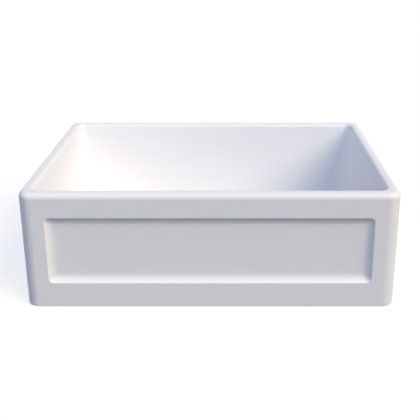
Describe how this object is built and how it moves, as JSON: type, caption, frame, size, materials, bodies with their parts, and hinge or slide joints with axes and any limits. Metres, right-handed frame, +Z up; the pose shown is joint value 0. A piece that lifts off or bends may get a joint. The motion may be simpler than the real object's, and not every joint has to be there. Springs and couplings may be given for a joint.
{
  "type": "farmhouse apron front sink",
  "caption": "White fireclay farmhouse kitchen sink with a deep bowl, a recessed panel on its apron front, and a basket strainer with a tailpiece.",
  "frame": {"origin": "middle of the flat underside that the sink rests on, on the drain's axis", "axes": "+X along the sink's width, to the right of someone facing the apron; the apron faces -Y; +Z up"},
  "size_m": [0.762, 0.508, 0.3902],
  "materials": {
    "fireclay": "gloss white glaze",
    "seal_rubber": "matte",
    "strainer_steel": "polished",
    "gasket_rubber": "matte",
    "fibre": "matte",
    "nut_brass": "as cast",
    "washer_rubber": "matte",
    "tube_chrome": "bright plating",
    "basket_steel": "polished",
    "stem_steel": "satin",
    "knob_chrome": "bright plating",
    "stopper_rubber": "matte"
  },
  "bodies": {
    "sink": {"basin": "fireclay", "flange_seal": "seal_rubber", "strainer_body": "strainer_steel", "strainer_cross": "strainer_steel", "rubber_gasket": "gasket_rubber", "friction_ring": "fibre", "locknut": "nut_brass", "tailpiece_washer": "washer_rubber", "coupling_nut": "tube_chrome", "tailpiece": "tube_chrome"},
    "stem": {"basket_post": "stem_steel", "basket_knob": "knob_chrome", "stopper_backing": "stem_steel", "stopper": "stopper_rubber", "stopper_retainer": "stem_steel", "post_clip": "stem_steel"},
    "basket": {"basket_cup": "basket_steel"}
  },
  "joints": [
    {"name": "basket_lift", "type": "slide", "parent": "sink", "child": "stem", "axis": [0, 0, 1], "range_m": [0, 0.3]},
    {"name": "basket_spin", "type": "hinge", "parent": "stem", "child": "basket", "pos_m": [0, 0, 0], "axis": [0, 0, 1], "continuous": true}
  ]
}
